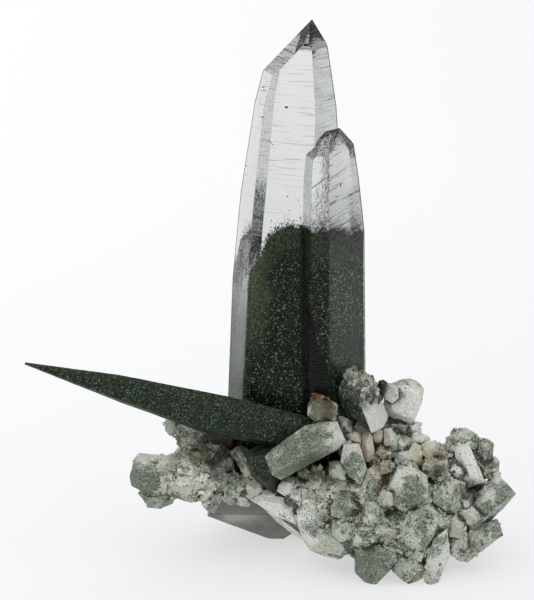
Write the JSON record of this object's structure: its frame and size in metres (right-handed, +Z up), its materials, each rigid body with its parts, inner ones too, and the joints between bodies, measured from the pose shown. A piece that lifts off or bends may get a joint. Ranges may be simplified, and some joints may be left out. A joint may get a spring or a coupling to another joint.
{
  "type": "quartz crystal",
  "caption": "Upright clear quartz filled below with dark green chlorite, a shorter quartz fused to its side and a long green blade leaning left, on a base of pale adularia.",
  "frame": {"origin": "middle of the bounding box, on the surface that the specimen stands on", "axes": "+Z up along the tall crystal, -Y towards the viewer of the side with the blade in front, +X to that viewer's right"},
  "size_m": [0.0874, 0.0402, 0.0981],
  "materials": {
    "clear_quartz": "gloss",
    "chlorite_quartz": "satin",
    "frosted_quartz": "satin",
    "grey_quartz": "satin",
    "adularia": "satin"
  },
  "bodies": {
    "root": {"tall_quartz_pair": "clear_quartz", "quartz_blade": "chlorite_quartz", "tilted_quartz": "frosted_quartz", "wedge_quartz": "chlorite_quartz", "stub_quartz": "chlorite_quartz", "base_quartz": "grey_quartz", "adularia_matrix": "adularia"}
  },
  "joints": []
}
